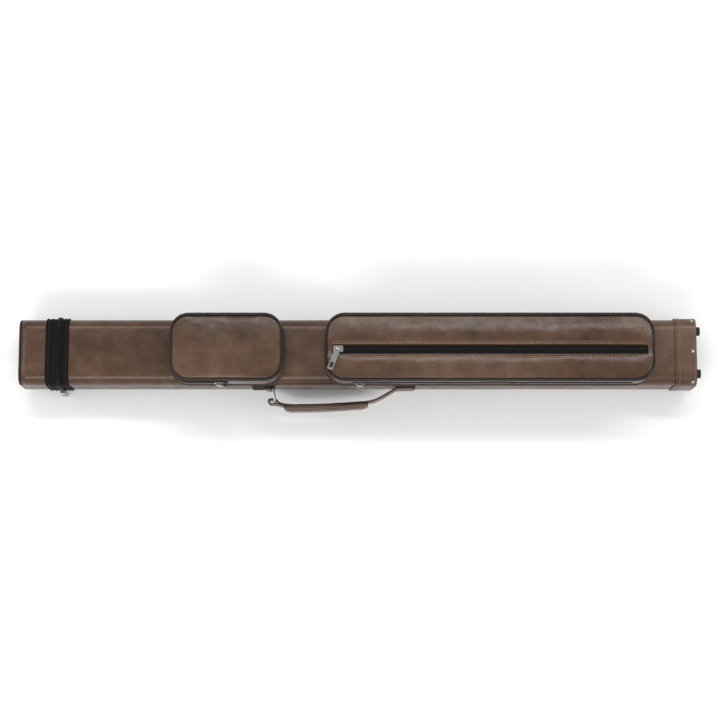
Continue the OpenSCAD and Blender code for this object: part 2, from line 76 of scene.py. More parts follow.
class Nodes:
    """Small helper that builds one node material."""

    def __init__(self, name):
        self.material = bpy.data.materials.new(name)
        self.material.use_nodes = True
        self.tree = self.material.node_tree
        self.shader = self.tree.nodes["Principled BSDF"]
        self.coords = self.tree.nodes.new("ShaderNodeTexCoord").outputs["Object"]

    def add(self, kind, inputs=None, **settings):
        node = self.tree.nodes.new(kind)
        for key, value in settings.items():
            setattr(node, key, value)
        for key, value in (inputs or {}).items():
            self.put(value, node.inputs[key])
        return node

    def put(self, value, socket):
        if isinstance(value, bpy.types.NodeSocket):
            self.tree.links.new(value, socket)
        else:
            socket.default_value = value

    def stretched(self, scale):
        return self.add("ShaderNodeMapping", {"Vector": self.coords, "Scale": scale}).outputs[0]

    def noise(self, scale, detail=3, stretch=(1, 1, 1), rough=0.55):
        where = self.stretched(stretch)
        inputs = {"Vector": where, "Scale": scale, "Detail": detail, "Roughness": rough}
        return self.add("ShaderNodeTexNoise", inputs).outputs["Fac"]

    def cells(self, scale, feature="F1"):
        inputs = {"Vector": self.coords, "Scale": scale}
        return self.add("ShaderNodeTexVoronoi", inputs, feature=feature).outputs[0]

    def math(self, operation, a, b=0.0):
        return self.add("ShaderNodeMath", {0: a, 1: b}, operation=operation).outputs[0]

    def ramp(self, factor, stops):
        node = self.add("ShaderNodeValToRGB", {"Fac": factor})
        elements = node.color_ramp.elements
        while len(elements) < len(stops):
            elements.new(0.5)
        for element, (position, colour) in zip(elements, stops):
            element.position = position
            element.color = colour if len(colour) == 4 else (*colour, 1)
        return node.outputs[0]

    def grey(self, factor, low, high, start=0.3, end=0.7):
        return self.ramp(factor, [(start, (low,) * 3), (end, (high,) * 3)])

    def wave(self, scale, direction, distortion=0.0):
        inputs = {"Vector": self.coords, "Scale": scale, "Distortion": distortion}
        node = self.add("ShaderNodeTexWave", inputs, bands_direction=direction)
        return node.outputs["Fac"]

    def bump(self, height, strength, distance, normal=None):
        inputs = {"Height": height, "Strength": strength, "Distance": distance}
        if normal is not None:
            inputs["Normal"] = normal
        return self.add("ShaderNodeBump", inputs).outputs[0]

    def finish(self, colour=None, roughness=None, normal=None, **fixed):
        if colour is not None:
            self.put(colour, self.shader.inputs["Base Color"])
        if roughness is not None:
            self.put(roughness, self.shader.inputs["Roughness"])
        if normal is not None:
            self.put(normal, self.shader.inputs["Normal"])
        for key, value in fixed.items():
            self.shader.inputs[key.replace("_", " ")].default_value = value
        return self.material


def leather(name, dark, mid, light, crease=1.0, rough=(0.26, 0.42), coat=0.06):
    """Glossy coated leather: broad colour drift, fine grain, short creases and pores."""
    n = Nodes(name)
    drift = n.noise(9, 4, (0.55, 1.2, 1.2))
    mottle = n.noise(55, 5)
    blend = n.math("ADD", n.math("MULTIPLY", drift, 0.7), n.math("MULTIPLY", mottle, 0.3))
    colour = n.ramp(blend, [(0.36, dark), (0.5, mid), (0.64, light)])
    creases = n.noise(150, 6, (0.5, 2.2, 1.4), 0.7)
    grain = n.cells(900)
    folds = n.noise(42, 3, (1.6, 0.7, 0.9))
    first = n.bump(grain, 0.10, 0.0003)
    second = n.bump(creases, 0.12 * crease, 0.0010, first)
    third = n.bump(folds, 0.12 * crease, 0.003, second)
    shine = n.grey(n.noise(70, 4), rough[0], rough[1])
    return n.finish(colour, shine, third, Coat_Weight=coat, Coat_Roughness=0.22, Specular_IOR_Level=0.3)


def webbing(name, colour, ribs="X", pitch=1.5):
    """Woven tape: ribs one way, crossed by the weft. The ribs come out 2 pi times the pitch apart."""
    n = Nodes(name)
    rib_scale = 1 / (pitch * MM) * 0.05
    ribs_fac = n.wave(rib_scale, ribs)
    across = n.wave(rib_scale * 1.6, "Y" if ribs != "Y" else "X")
    weave = n.math("MULTIPLY", ribs_fac, n.math("ADD", n.math("MULTIPLY", across, 0.5), 0.5))
    fuzz = n.noise(1500, 2)
    low = tuple(c * 0.7 for c in colour)
    high = tuple(min(1, c * 1.4) for c in colour)
    shade = n.ramp(n.math("ADD", n.math("MULTIPLY", weave, 0.7), n.math("MULTIPLY", fuzz, 0.3)),
                   [(0.15, low), (0.85, high)])
    normal = n.bump(weave, 0.6, 0.0006, n.bump(fuzz, 0.2, 0.0003))
    rough = n.grey(fuzz, 0.62, 0.9)
    return n.finish(shade, rough, normal, Specular_IOR_Level=0.15)


def metal(name, colour, rough=(0.12, 0.3)):
    """Plated wire or cast metal with faint handling wear."""
    n = Nodes(name)
    wear = n.noise(260, 5)
    tone = tuple(c * 0.72 for c in colour)
    shade = n.ramp(wear, [(0.35, tone), (0.62, colour)])
    normal = n.bump(n.noise(900, 3), 0.06, 0.0003)
    return n.finish(shade, n.grey(wear, rough[1], rough[0]), normal, Metallic=1.0)


def soft_matte(name, colour, scale=500, strength=0.3, rough=(0.6, 0.85)):
    """Foam, board or rubber: even colour with a fine uneven surface."""
    n = Nodes(name)
    speck = n.noise(scale, 4)
    low = tuple(c * 0.7 for c in colour)
    high = tuple(min(1, c * 1.3) for c in colour)
    shade = n.ramp(speck, [(0.35, low), (0.65, high)])
    normal = n.bump(speck, strength, 0.0006)
    return n.finish(shade, n.grey(speck, rough[0], rough[1]), normal, Specular_IOR_Level=0.25)


def thread(name, colour):
    """Twisted sewing thread."""
    n = Nodes(name)
    twist = n.noise(2500, 2)
    low = tuple(c * 0.6 for c in colour)
    return n.finish(n.ramp(twist, [(0.3, low), (0.7, colour)]), n.grey(twist, 0.45, 0.7),
                    n.bump(twist, 0.4, 0.0002))


BROWN = ((0.040, 0.018, 0.009), (0.074, 0.038, 0.021), (0.115, 0.068, 0.042))
MAT = {
    "leather": leather("leather_brown", *BROWN),
    "pouch": leather("leather_pouch", *BROWN, crease=1.7, rough=(0.22, 0.38), coat=0.1),
    "piping": leather("leather_piping", (0.004, 0.002, 0.0015), (0.009, 0.0045, 0.0035),
                      (0.018, 0.010, 0.008), 0.8),
    "tab": leather("leather_black", (0.008, 0.007, 0.007), (0.014, 0.012, 0.012), (0.024, 0.021, 0.02), 1.0),
    "webbing": webbing("webbing_black", (0.009, 0.0085, 0.008)),
    "band": webbing("band_black", (0.008, 0.008, 0.008), "Z", 1.4),
    "tape": webbing("zip_tape", (0.0035, 0.0035, 0.0035), "X", 0.9),
    "tape_round": webbing("zip_tape_round", (0.0035, 0.0035, 0.0035), "Z", 0.9),
    "coil": soft_matte("zip_coil", (0.005, 0.005, 0.005), 1200, 0.2, (0.28, 0.45)),
    "chrome": metal("metal_chrome", (0.62, 0.62, 0.64)),
    "gun": metal("metal_gunmetal", (0.42, 0.40, 0.38), (0.16, 0.34)),
    "board": soft_matte("shell_board", (0.05, 0.04, 0.03)),
    "foam": soft_matte("foam_grey", (0.05, 0.05, 0.052), 1400, 0.5, (0.85, 0.95)),
    "liner": soft_matte("tube_liner", (0.02, 0.02, 0.023), 700, 0.25),
    "rubber": soft_matte("foot_rubber", (0.012, 0.012, 0.012), 900, 0.25, (0.35, 0.55)),
    "grey_trim": soft_matte("pad_trim", (0.06, 0.06, 0.066), 800, 0.35, (0.4, 0.6)),
    "pad": leather("pad_leather", (0.008, 0.008, 0.009), (0.015, 0.015, 0.016), (0.028, 0.028, 0.03), 1.4),
    "thread": thread("thread_brown", (0.28, 0.195, 0.145)),
    "thread_black": thread("thread_black", (0.035, 0.033, 0.032)),
}

NODE_MATERIALS = {
    "board": ["body_shell", "shell_corners", "lid_shell", "base_plug"],
    "leather": ["body_leather", "lid_leather", "lid_end_panel", "base_sleeve", "handle_root", "handle_strap"],
    "foam": ["foam_insert", "bottom_pad", "lid_liner"],
    "liner": ["butt_tube_1", "butt_tube_2", "shaft_tube_1", "shaft_tube_2", "mouth_plate",
              "large_pouch_divider"],
    "rubber": ["base_feet"],
    "chrome": ["left_ring", "right_ring", "handle_ring", "triglide"],
    "gun": ["lid_slider", "lid_pull", "small_slider", "small_pull", "side_slider", "side_pull",
            "front_slider", "front_pull", "rivets", "foot_screws"],
    "tab": ["lid_tab", "hinge_tab", "lid_hinge_tab", "right_tab"],
    "webbing": ["strap_webbing", "strap_pad"],
    "band": ["band_left", "band_right"],
    "tape": ["front_zip", "side_zip"],
    "tape_round": ["case_zip", "lid_zip", "small_zip_lower", "small_zip_upper"],
    "piping": ["small_pouch_piping", "small_flap_piping", "large_pouch_piping", "lid_piping"],
    "pouch": ["small_pouch_back", "small_pouch_gusset", "small_pouch_front", "small_flap",
              "large_pouch_back", "large_pouch_gusset", "large_pouch_front", "handle_grip"],
}
for key, names in NODE_MATERIALS.items():
    for name in names:
        node_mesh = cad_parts[name].data
        node_mesh.materials.clear()
        node_mesh.materials.append(MAT[key])


# ---- Scene: floor, lights and camera ----


def floor_and_lights():
    """Pale floor and soft studio light."""
    bpy.ops.mesh.primitive_plane_add(size=8)
    floor = bpy.context.object
    floor.name = "studio_floor"
    n = Nodes("studio_floor")
    floor.data.materials.append(n.finish((0.88, 0.88, 0.88, 1), n.grey(n.noise(3), 0.6, 0.7)))
    lamps = [
        ("key", (-0.3, -1.2, 1.5), (0, 0, 0.03), 1.8, 0.3, 17),
        ("top", (0.1, 0.8, 1.5), (0, 0, 0.03), 2.2, 0.2, 15),
        ("fill", (1.5, -0.4, 1.1), (0.1, 0, 0.03), 0.8, 0.8, 5),
        ("left", (-1.6, 0.1, 0.9), (-0.1, 0, 0.03), 0.8, 0.8, 5),
    ]
    for name, place, target, width, height, power in lamps:
        light = bpy.data.lights.new(name, "AREA")
        light.shape = "RECTANGLE"
        light.size = width
        light.size_y = height
        light.energy = power
        lamp = bpy.data.objects.new(name, light)
        lamp.location = place
        aim = Vector(target) - Vector(place)
        lamp.rotation_euler = aim.to_track_quat("-Z", "Y").to_euler()
        bpy.context.scene.collection.objects.link(lamp)
    world = bpy.data.worlds.new("studio")
    world.use_nodes = True
    world.node_tree.nodes["Background"].inputs["Color"].default_value = (1, 1, 1, 1)
    world.node_tree.nodes["Background"].inputs["Strength"].default_value = 0.58
    bpy.context.scene.world = world
    bpy.context.scene.view_settings.view_transform = "Standard"


def main_camera():
    """Looks down on the pouches, tipped a little towards the handle side."""
    distance, elevation = 2.3, math.radians(81.5)
    camera = bpy.data.objects.new("camera", bpy.data.cameras.new("camera"))
    bpy.context.scene.collection.objects.link(camera)
    back = Vector((0, -math.cos(elevation), math.sin(elevation)))
    target = Vector((0, (AXIS_Y - 6.3) * MM, AXIS_Z * MM))
    camera.location = target + back * distance
    camera.rotation_euler = (-back).to_track_quat("-Z", "Y").to_euler()
    camera.data.lens = 94
    bpy.context.scene.camera = camera


floor_and_lights()
main_camera()


# ---- Geometry helpers ----


def make_piece(name, verts, faces, material, body, smooth=True, replaces=(), slot=None):
    """Makes a mesh in metres from points in millimetres, and declares what it rides on and replaces."""
    mesh = bpy.data.meshes.new(name)
    mesh.from_pydata([tuple(c * MM for c in v) for v in verts], [], faces)
    mesh.materials.append(MAT[material])
    mesh.validate()
    clean = bmesh.new()
    clean.from_mesh(mesh)
    bmesh.ops.remove_doubles(clean, verts=clean.verts, dist=1e-6)
    bmesh.ops.recalc_face_normals(clean, faces=clean.faces)
    clean.to_mesh(mesh)
    clean.free()
    for polygon in mesh.polygons:
        polygon.use_smooth = smooth
    piece = bpy.data.objects.new(name, mesh)
    bpy.context.scene.collection.objects.link(piece)
    if body:
        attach(piece, body)
    if replaces:
        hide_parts(*replaces)
    return piece


def corner_arcs(x0, x1, y0, y1, r, count):
    """Points and outward normals round a rectangle's four corners, counter-clockwise."""
    points = []
    centres = [(x1 - r, y1 - r, 0), (x0 + r, y1 - r, 90), (x0 + r, y0 + r, 180), (x1 - r, y0 + r, 270)]
    for cx, cy, start in centres:
        for k in range(count + 1):
            a = math.radians(start + 90 * k / count)
            points.append((cx + r * math.cos(a), cy + r * math.sin(a), math.cos(a), math.sin(a)))
    return points


def rounded_loop(x0, x1, y0, y1, r, step=2.5, arc_points=10):
    """The corner arcs, with points along the straight sides between them."""
    points = corner_arcs(x0, x1, y0, y1, max(r, 0.05), arc_points)
    out = []
    for i, p in enumerate(points):
        q = points[(i + 1) % len(points)]
        out.append(p)
        gap = math.dist(p[:2], q[:2])
        count = int(gap / step)
        if count > 1 and abs(p[2] - q[2]) + abs(p[3] - q[3]) < 1e-6:
            for k in range(1, count):
                t = k / count
                out.append((p[0] + (q[0] - p[0]) * t, p[1] + (q[1] - p[1]) * t, p[2], p[3]))
    return out


def divided(low, high, count):
    """Evenly spaced places from low to high, both included."""
    return [low + (high - low) * k / count for k in range(count + 1)]


def every(step, low, high):
    """Places one step apart from low, as far as high."""
    return [low + k * step for k in range(int((high - low) / step) + 1)]


def skin(n, m, closed=False):
    """Faces over n rings of m points each, with flat ends unless the rings close on themselves."""
    faces = []
    for i in range(n if closed else n - 1):
        for j in range(m):
            k, after = (j + 1) % m, (i + 1) % n
            faces.append((i * m + j, i * m + k, after * m + k, after * m + j))
    if not closed:
        faces.append(tuple(range(m)))
        faces.append(tuple((n - 1) * m + j for j in reversed(range(m))))
    return faces


def sweep(loop, profile, place, closed=True, wobble=None):
    """Sweeps an (offset, height) profile along a loop with normals; place maps (u, v, w) to X, Y, Z."""
    verts = []
    for u, v, nu, nv in loop:
        for j, (off, height) in enumerate(profile):
            extra = wobble(j, u, v, height) if wobble else 0.0
            verts.append(place(u + nu * (off + extra), v + nv * (off + extra), height))
    return verts, skin(len(loop), len(profile), closed)


def circle_profile(off, height, r, n=12):
    turns = [2 * math.pi * k / n for k in range(n)]
    return [(off + r * math.cos(a), height + r * math.sin(a)) for a in turns]


def rounded_profile(off0, off1, h0, h1, r, n=4):
    """Profile of a strip with rounded edges."""
    r = min(r, (off1 - off0) / 2.01, (h1 - h0) / 2.01)
    return [p[:2] for p in corner_arcs(off0, off1, h0, h1, r, n)]


def up(u, v, w):
    """Loop or path in X-Y about the case's axis, heights or widths up Z."""
    return (u, v + AXIS_Y, w + AXIS_Z)


def along(u, v, w):
    """Loop in Y-Z about the case's axis, heights along X."""
    return (w, u + AXIS_Y, v + AXIS_Z)


# Along one stitch: place along its length, lift above the leather, thickness
STITCH_STATIONS = [(-0.5, 0.0, 0.55), (-0.28, 0.75, 1.0), (0.0, 1.0, 1.05), (0.28, 0.75, 1.0),
                   (0.5, 0.0, 0.55)]


# Pitch, length and thickness of the fine stitches on webbing, and of the grip's
FINE_STITCH = (2.6, 1.8, 0.2)
GRIP_STITCH = (3.4, 2.3, 0.42)


def stitches(points, normals, pitch=3.6, length=2.4, r=0.42):
    """Raised stitches along a run of points: short threads that dip into the leather at both ends."""
    verts, faces = [], []
    dist = [0.0]
    for a, b in zip(points, points[1:]):
        dist.append(dist[-1] + math.dist(a, b))
    total, at, i = dist[-1], pitch / 2, 0
    while at < total - pitch / 2:
        while dist[i + 1] < at:
            i += 1
        t = (at - dist[i]) / max(1e-9, dist[i + 1] - dist[i])
        p = Vector(points[i]).lerp(Vector(points[i + 1]), t)
        n = Vector(normals[i]).lerp(Vector(normals[i + 1]), t).normalized()
        along_dir = (Vector(points[i + 1]) - Vector(points[i])).normalized()
        side = n.cross(along_dir).normalized()
        base = len(verts)
        for s, lift, fat in STITCH_STATIONS:
            centre = p + along_dir * (s * length) + n * (lift * r * 0.9 - 0.1 * r)
            for k in range(6):
                a = 2 * math.pi * k / 6
                verts.append(tuple(centre + (side * math.cos(a) + n * math.sin(a)) * (r * fat)))
        for j in range(4):
            for k in range(6):
                a, b = base + j * 6 + k, base + j * 6 + (k + 1) % 6
                faces.append((a, b, b + 6, a + 6))
        faces.append(tuple(base + k for k in reversed(range(6))))
        faces.append(tuple(base + 24 + k for k in range(6)))
        at += pitch
    return verts, faces


def flat_row(points, normal, *sizes):
    """Stitches on a flat face."""
    return stitches(points, [normal] * len(points), *sizes)


def sewn(name, threads, body="case", colour="thread", slot="leather_brown"):
    """Makes one piece of rows of stitches."""
    make_piece(name, *threads, colour, body, slot=slot)


def join_parts(parts):
    """Joins several (verts, faces) into one."""
    verts, faces = [], []
    for v, f in parts:
        base = len(verts)
        verts += v
        faces += [tuple(base + i for i in face) for face in f]
    return verts, faces


def coil_teeth(points, normals, pitch=1.25, half=1.25, height=0.9, seam=0.16, sides=(-1, 1)):
    """Rows of small zip coils on one or both sides of a line of points."""
    parts = []
    carry = pitch / 2
    for i in range(len(points) - 1):
        a, b = Vector(points[i]), Vector(points[i + 1])
        seg = (b - a).length
        n = Vector(normals[i]).normalized()
        direction = (b - a).normalized()
        side = n.cross(direction).normalized()
        while carry < seg:
            p = a + direction * carry
            for s in sides:
                shift = direction * (0.0 if s > 0 else pitch / 2)
                verts = []
                for t, lift in [(seam, 0.35), (half * 0.3, 0.95), (half * 0.75, 0.9), (half, 0.1)]:
                    for w in (-0.36, 0.36):
                        q = p + shift + side * (s * t) + direction * (w * pitch)
                        verts.append(tuple(q + n * (lift * height)))
                        verts.append(tuple(q + n * (-0.2 * height)))
                faces = []
                for k in range(3):
                    o = k * 4
                    faces += [(o, o + 2, o + 6, o + 4), (o + 1, o + 5, o + 7, o + 3),
                              (o, o + 4, o + 5, o + 1), (o + 2, o + 3, o + 7, o + 6)]
                faces += [(0, 1, 3, 2), (12, 14, 15, 13)]
                parts.append((verts, faces))
            carry += pitch
        carry -= seg
    return join_parts(parts)


def wave3(x, y, z):
    """Repeatable smooth noise, about -1 to 1."""
    return noise.noise(Vector((x, y, z)))


def smooth(t):
    t = min(1.0, max(0.0, t))
    return t * t * (3 - 2 * t)


def loop_curve(loop, off, height, place):
    """Points and outward normals of a line that follows a loop at one offset and height."""
    points = [place(u + nu * off, v + nv * off, height) for u, v, nu, nv in loop]
    origin = place(0, 0, 0)
    normals = [tuple(a - b for a, b in zip(place(nu, nv, 0), origin)) for _, _, nu, nv in loop]
    return points, normals


def closed_curve(loop, off, height, place):
    points, normals = loop_curve(loop, off, height, place)
    return points + points[:1], normals + normals[:1]


# ---- Case and lid leather ----

SECTION = rounded_loop(-HALF_W, HALF_W, -HALF_D, HALF_D, CORNER_R, 3.0, 8)


def leather_cover(name, body, low_x, high_x, seed, replaced):
    """Leather wrapped over the stiff shell, with the slight unevenness that it has on the real case."""
    count = max(4, int((high_x - low_x) / 7))
    profile = [(0.0, x) for x in divided(low_x, high_x, count)] + [(-0.9, high_x), (-0.9, low_x)]

    def uneven(j, u, v, x):
        if j > count:
            return 0.0
        ends = smooth((x - low_x) / 14) * smooth((high_x - 24 - x) / 14)
        broad = 0.22 * wave3(x * 0.012, u * 0.03 + seed, v * 0.05)
        fine = 0.07 * wave3(x * 0.05, u * 0.16, v * 0.16 + seed)
        return ends * (broad + fine)

    verts, faces = sweep(SECTION, profile, along, wobble=uneven)
    return make_piece(name, verts, faces, "leather", body, replaces=[replaced], slot="leather_brown")


LID_LOW, LID_HIGH = span("lid_leather")
MOUTH_X = round((LID_HIGH[0] + BODY_LOW[0]) / 2, 3)  # where the lid turns on the case
leather_cover("case_cover", "case", BODY_LOW[0], BODY_HIGH[0], 3.1, "body_leather")
leather_cover("lid_cover", "lid", LID_LOW[0], LID_HIGH[0], 7.7, "lid_leather")

SLEEVE_LOW, SLEEVE_HIGH = span("base_sleeve")
SLEEVE_T = SLEEVE_HIGH[1] - BODY_HIGH[1]


def base_trim():
    """Turned edge and stitching round the leather base sleeve."""
    edge = SLEEVE_LOW[0]
    verts, faces = sweep(SECTION, rounded_profile(0.2, SLEEVE_T + 0.55, edge - 0.5, edge + 2.2, 0.8), along)
    make_piece("sleeve_edge", verts, faces, "leather", "case", slot="leather_brown")
    row = closed_curve(SECTION, SLEEVE_T + 0.05, edge + 4.4, along)
    sewn("sleeve_stitches", stitches(*row))
    row = closed_curve(SECTION, SLEEVE_T + 0.05, SLEEVE_HIGH[0] - 2.2, along)
    sewn("sleeve_end_stitches", stitches(*row))


base_trim()


# ---- Zip round the mouth ----


def mouth_zip():
    """Coils, welts and stitching of the zip between the lid and the case."""
    teeth_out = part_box("case_zip")[1][1] / MM - AXIS_Y - HALF_W
    tape_low, tape_high = span("lid_zip")[0][0], span("case_zip")[1][0]
    split = (span("lid_zip")[1][0] + span("case_zip")[0][0]) / 2
    points, normals = closed_curve(SECTION, teeth_out, split, along)
    for side, body, label in [(-1, "lid", "lid_coil"), (1, "case", "case_coil")]:
        verts, faces = coil_teeth(points, normals, pitch=1.5, half=2.2, height=0.9, sides=(side,))
        make_piece(label, verts, faces, "coil", body, slot="zip_black")
    tape_out = 1.2
    rows = [("lid", "lid", tape_low, 1), ("case", "case", tape_high, -1)]
    for label, body, edge, inward in rows:
        welts = [sweep(SECTION, circle_profile(tape_out - 0.1, edge + inward * d, 0.95, 10), along)
                 for d in (1.2, 5.4 if body == "case" else 7.2)]
        make_piece(label + "_zip_welts", *join_parts(welts), "tape_round", body, slot="zip_black")
        row = closed_curve(SECTION, tape_out, edge + inward * 3.2, along)
        stitch_row = stitches(*row, *FINE_STITCH)
        sewn(label + "_zip_stitches", stitch_row, body, "thread_black", "zip_black")


mouth_zip()

# ---- Pouches ----

PIPE_LOW, PIPE_HIGH = span("large_pouch_piping")
PIPE_R = 1.8
PIPE_IN = 2.5
PIPE_Z = PIPE_HIGH[2] - PIPE_R - AXIS_Z
RIM_Z = PIPE_LOW[2] - AXIS_Z
BASE_TOP = span("large_pouch_back")[1][2] - AXIS_Z
POUCH_R = 24
WALL_IN = 1.5
FRONT_IN = PIPE_IN + PIPE_R - 0.8
EDGE_Z = PIPE_Z - 0.2


def pouch_loop(node, inset, step=2.5):
    """A pouch's outline seen from above, about the case's axis, drawn in by the inset."""
    low, high = span(node)
    y0, y1 = low[1] - AXIS_Y, high[1] - AXIS_Y
    return rounded_loop(low[0] + inset, high[0] - inset, y0 + inset, y1 - inset, POUCH_R - inset, step, 12)


def pouch_gusset(name, node, body, heights, skip, replaced, seed, bulge=0.9):
    """Side wall of a pouch: a slightly creased band of leather, with openings where skip() says."""
    loop = pouch_loop(node, WALL_IN, 2.4)
    low, high = heights[0], heights[-1]
    verts, faces = [], []
    for u, v, nu, nv in loop:
        for h in heights:
            t = (h - low) / (high - low)
            near_edge = smooth(t * 5) * smooth((1 - t) * 5)
            out = bulge * math.sin(math.pi * t)
            out += near_edge * (0.55 * wave3(u * 0.035, v * 0.035 + seed, h * 0.07)
                                + 0.25 * wave3(u * 0.16, v * 0.16, h * 0.12 + seed))
            if skip(u, v, h, margin=4.0):
                out = min(out, 0.3)
            verts.append(up(u + nu * out, v + nv * out, h))
    m = len(heights)
    for i in range(len(loop)):
        k = (i + 1) % len(loop)
        for j in range(m - 1):
            mid_u = (loop[i][0] + loop[k][0]) / 2
            mid_v = (loop[i][1] + loop[k][1]) / 2
            mid_h = (heights[j] + heights[j + 1]) / 2
            if not skip(mid_u, mid_v, mid_h, margin=0.0):
                faces.append((i * m + j, k * m + j, k * m + j + 1, i * m + j + 1))
    piece = make_piece(name, verts, faces, "pouch", body, replaces=replaced, slot="leather_brown")
    thicken(piece, 1.7)
    return piece


def thicken(piece, thickness):
    """Gives a single skin its leather's thickness, inwards."""
    shell = piece.modifiers.new("thickness", "SOLIDIFY")
    shell.thickness = thickness * MM
    shell.offset = -1


def half_width(x, low_x, high_x, half, r):
    """Half the width of a rounded outline at one station along it."""
    d = min(x - low_x, high_x - x)
    if d >= r:
        return half
    return half - r + math.sqrt(max(0.0, r * r - (r - d) ** 2))


def panel_grid(low_x, high_x, half, r, height, column=4.0, rows=12, slot_y=None, slot_x=None):
    """Crowned front panel on a grid whose edge follows the rounded outline; an optional slot is left open."""
    near = [low_x + r * (1 - math.cos(math.pi / 2 * k / 9)) for k in range(9)]
    count = int((high_x - low_x - 2 * r) / column)
    middle = divided(low_x + r, high_x - r, count)
    far = [high_x - r * (1 - math.cos(math.pi / 2 * k / 9)) for k in reversed(range(9))]
    xs = sorted(near + middle + far + list(slot_x or ()))
    verts, faces = [], []
    for x in xs:
        w = half_width(x, low_x, high_x, half, r)
        if slot_y:
            ys = divided(-w, slot_y[0], rows) + divided(slot_y[1], w, rows)
        else:
            ys = divided(-w, w, 2 * rows)
        for y in ys:
            verts.append(up(x, y, height(x, y, w)))
    m = len(ys)
    for i in range(len(xs) - 1):
        mid = (xs[i] + xs[i + 1]) / 2
        for j in range(m - 1):
            in_slot = slot_y and j == rows and slot_x[0] < mid < slot_x[1]
            if not in_slot:
                faces.append((i * m + j, (i + 1) * m + j, (i + 1) * m + j + 1, i * m + j + 1))
    return verts, faces


def flange(name, node, body):
    """Turned and stitched edge of a pouch's back, where it is sewn to the case."""
    loop = pouch_loop(node, 0)
    verts, faces = sweep(loop, rounded_profile(-2.2, 0.35, BASE_TOP - 2.1, BASE_TOP + 0.35, 1.0), up)
    make_piece(name, verts, faces, "piping", body, slot="leather_dark")


def large_pouch():
    """The long pouch: two zipped compartments under a puffed leather front."""
    side_low, side_high = span("side_zip")
    front_low, front_high = span("front_zip")
    slot_z = (side_low[2] - AXIS_Z, side_high[2] - AXIS_Z)
    slot_x = (side_low[0], side_high[0])

    def in_slot(u, v, h, margin):
        inside_x = slot_x[0] - margin < u < slot_x[1] + margin
        inside_z = slot_z[0] - margin < h < slot_z[1] + margin
        return v < -30 and inside_x and inside_z

    heights = [BASE_TOP, 34.5, 37, 40, 42.5, slot_z[0], 49, slot_z[1], 56, 58.5, 61, RIM_Z + 0.6]
    replaced = ["large_pouch_gusset"]
    pouch_gusset("large_gusset", "large_pouch_back", "case", heights, in_slot, replaced, 2.0, 0.5)
    flange("large_flange", "large_pouch_back", "case")

    low, high = span("large_pouch_back")
    x0, x1 = low[0] + FRONT_IN, high[0] - FRONT_IN
    half = (high[1] - low[1]) / 2 - FRONT_IN
    r = POUCH_R - FRONT_IN
    slot_y = (front_low[1] - AXIS_Y, front_high[1] - AXIS_Y)
    zip_x = (front_low[0], front_high[0])
    tape_z = front_high[2] - AXIS_Z - 1.2

    def height(x, y, w):
        ends = smooth(min(x - x0, x1 - x) / 34)
        if y >= slot_y[1] - 0.01:
            t = (y - slot_y[1]) / max(1e-6, w - slot_y[1])
            rise = 2.6
        elif y <= slot_y[0] + 0.01:
            t = (slot_y[0] - y) / max(1e-6, w + slot_y[0])
            rise = 3.0
        else:
            return tape_z + 0.2
        crown = math.sin(math.pi * min(1, max(0, t)) ** 0.85)
        low_z = tape_z + 0.45 + (EDGE_Z - tape_z - 0.45) * smooth(t)
        puff = rise * (0.35 + 0.65 * ends) * crown
        puff *= 1 + 0.35 * wave3(x * 0.016, y * 0.03, 1.7)
        crease = 0.5 * crown * wave3(x * 0.07, y * 0.045, 4.4) + 0.22 * crown * wave3(x * 0.23, y * 0.08, 9.1)
        pucker = 0.18 * math.exp(-t * 6) * smooth(t * 12) * math.sin(x * 0.9 + 2 * wave3(x * 0.05, 0, 2))
        return low_z + puff + crease + pucker

    verts, faces = panel_grid(x0, x1, half, r, height, column=2.6, rows=12, slot_y=slot_y, slot_x=zip_x)
    panel = make_piece("large_front", verts, faces, "pouch", "case", replaces=["large_pouch_front"],
                       slot="leather_brown")
    thicken(panel, 1.3)

    rows = []
    for edge, direction in [(slot_y[1], 1), (slot_y[0], -1)]:
        for d in (1.5, 3.9):
            y = edge + direction * d
            points = []
            for x in every(2.0, *zip_x):
                w = half_width(x, x0, x1, half, r)
                points.append(up(x, y, height(x, y, w) + 0.05))
            rows.append(flat_row(points, (0, 0, 1)))
    sewn("large_front_stitches", join_parts(rows))

    rows = []
    tape_y = side_low[1] - AXIS_Y + 1.2
    for h in (slot_z[0] - 1.6, slot_z[1] + 1.6):
        rows.append(flat_row([up(x, tape_y - 0.62, h) for x in every(3.0, *slot_x)], (0, -1, 0)))
    sewn("side_zip_stitches", join_parts(rows))
    row = closed_curve(pouch_loop("large_pouch_back", 0), -WALL_IN + 0.25, BASE_TOP + 2.2, up)
    sewn("large_flange_stitches", stitches(*row))

    line = every(4.0, front_low[0] + 1, front_high[0] - 1)
    points = [up(x, (slot_y[0] + slot_y[1]) / 2, tape_z + 0.75) for x in line]
    coil = coil_teeth(points, [(0, 0, 1)] * len(points), 1.5, 1.9, 0.85)
    make_piece("front_zip_coil", *coil, "coil", "case", slot="zip_black")
    line = every(4.0, slot_x[0] + 1, slot_x[1] - 1)
    points = [up(x, tape_y - 0.75, (slot_z[0] + slot_z[1]) / 2) for x in line]
    coil = coil_teeth(points, [(0, -1, 0)] * len(points), 1.5, 1.9, 0.85)
    make_piece("side_zip_coil", *coil, "coil", "case", slot="zip_black")


large_pouch()


